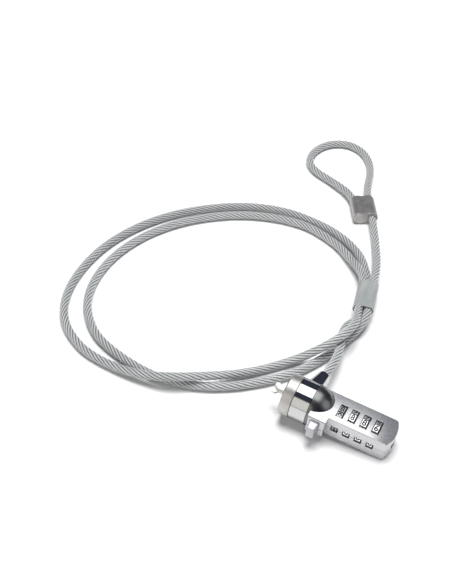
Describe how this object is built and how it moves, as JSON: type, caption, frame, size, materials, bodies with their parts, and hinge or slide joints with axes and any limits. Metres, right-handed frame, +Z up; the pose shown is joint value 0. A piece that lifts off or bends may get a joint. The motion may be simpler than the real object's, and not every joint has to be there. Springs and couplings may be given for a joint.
{
  "type": "laptop cable lock",
  "caption": "Combination cable lock for a laptop's security slot: dial head with scissor hooks and push button, swivelling cable socket, sheathed rope wound and tied, eye closed by a ferrule.",
  "frame": {"origin": "on the surface the lock lies on, under the middle of the lock without its cable", "axes": "+X from the hooks to the tail, +Y away from the button toward the cable's socket, +Z up; the head is tipped 6.3 degrees about Y, tail down, as it lies on its ring and tail"},
  "size_m": [0.1805, 0.2154, 0.02],
  "materials": {
    "chrome_ring": "polished",
    "socket_chrome": "polished",
    "cable_sheath": "clear sheath over steel rope",
    "wrap_film": "clear",
    "ferrule_metal": "satin",
    "dome_chrome": "polished",
    "nose_satin": "satin",
    "washer": "matt",
    "shell_silver": "satin silver",
    "pin_steel": "ground",
    "spring_steel": "bright",
    "bush_brass": "turned",
    "screw_steel": "bright",
    "button_satin": "satin",
    "hook_satin": "satin",
    "dial_white": "gloss"
  },
  "bodies": {
    "cable_assembly": {"swivel_ring": "chrome_ring", "cable_socket": "socket_chrome", "cable": "cable_sheath", "cable_wrap": "wrap_film", "ferrule": "ferrule_metal"},
    "lock_body": {"head_core": "dome_chrome", "nose_ring": "nose_satin", "thrust_washer": "washer", "upper_shell": "shell_silver", "lower_shell": "shell_silver", "hook_pin": "pin_steel", "detent_comb": "spring_steel", "tail_bush": "bush_brass", "shell_screws": "screw_steel", "spindle_spring": "spring_steel"},
    "button": {"button": "button_satin"},
    "cam": {"cam_slide": "pin_steel", "drive_pin": "pin_steel", "spindle": "pin_steel"},
    "hook_upper": {"hook_upper": "hook_satin"},
    "hook_lower": {"hook_lower": "hook_satin"},
    "dial_1": {"dial_1": "dial_white", "sleeve_1": "bush_brass"},
    "dial_2": {"dial_2": "dial_white", "sleeve_2": "bush_brass"},
    "dial_3": {"dial_3": "dial_white", "sleeve_3": "bush_brass"},
    "dial_4": {"dial_4": "dial_white", "sleeve_4": "bush_brass"},
    "reset_screw": {"reset_screw": "screw_steel"}
  },
  "joints": [
    {"name": "head_swivel", "type": "hinge", "parent": "cable_assembly", "child": "lock_body", "pos_m": [-0.0169, -0.0015, 0.01017], "axis": [0.994, 0, -0.109], "continuous": true},
    {"name": "button_press", "type": "slide", "parent": "lock_body", "child": "button", "axis": [0, 1, 0], "range_m": [0, 0.003], "stiffness_N_per_m": 400, "springref_m": -0.002},
    {"name": "cam_travel", "type": "slide", "parent": "lock_body", "child": "cam", "axis": [-0.994, 0, 0.109], "range_m": [0, 0.0018], "deforming": ["spindle_spring"]},
    {"name": "hook_upper_swing", "type": "hinge", "parent": "lock_body", "child": "hook_upper", "pos_m": [-0.01491, -0.0015, 0.00995], "axis": [-0.109, 0, -0.994], "range_deg": [0, 7.6]},
    {"name": "hook_lower_swing", "type": "hinge", "parent": "lock_body", "child": "hook_lower", "pos_m": [-0.01491, -0.0015, 0.00995], "axis": [0.109, 0, 0.994], "range_deg": [0, 7.6]},
    {"name": "dial_1_turn", "type": "hinge", "parent": "lock_body", "child": "dial_1", "pos_m": [0.00358, -0.0025, 0.00793], "axis": [0.994, 0, -0.109], "continuous": true},
    {"name": "dial_2_turn", "type": "hinge", "parent": "lock_body", "child": "dial_2", "pos_m": [0.00888, -0.0025, 0.00735], "axis": [0.994, 0, -0.109], "continuous": true},
    {"name": "dial_3_turn", "type": "hinge", "parent": "lock_body", "child": "dial_3", "pos_m": [0.01417, -0.0025, 0.00677], "axis": [0.994, 0, -0.109], "continuous": true},
    {"name": "dial_4_turn", "type": "hinge", "parent": "lock_body", "child": "dial_4", "pos_m": [0.01947, -0.0025, 0.00618], "axis": [0.994, 0, -0.109], "continuous": true},
    {"name": "reset_turn", "type": "hinge", "parent": "lock_body", "child": "reset_screw", "pos_m": [0.02684, -0.0025, 0.00538], "axis": [0.994, 0, -0.109], "range_deg": [0, 90]}
  ],
  "couplings": [
    {"joint": "cam_travel", "follows": "button_press", "ratio": 0.6},
    {"joint": "hook_upper_swing", "follows": "button_press", "rad_per_m": 44.2},
    {"joint": "hook_lower_swing", "follows": "button_press", "rad_per_m": 44.2}
  ]
}
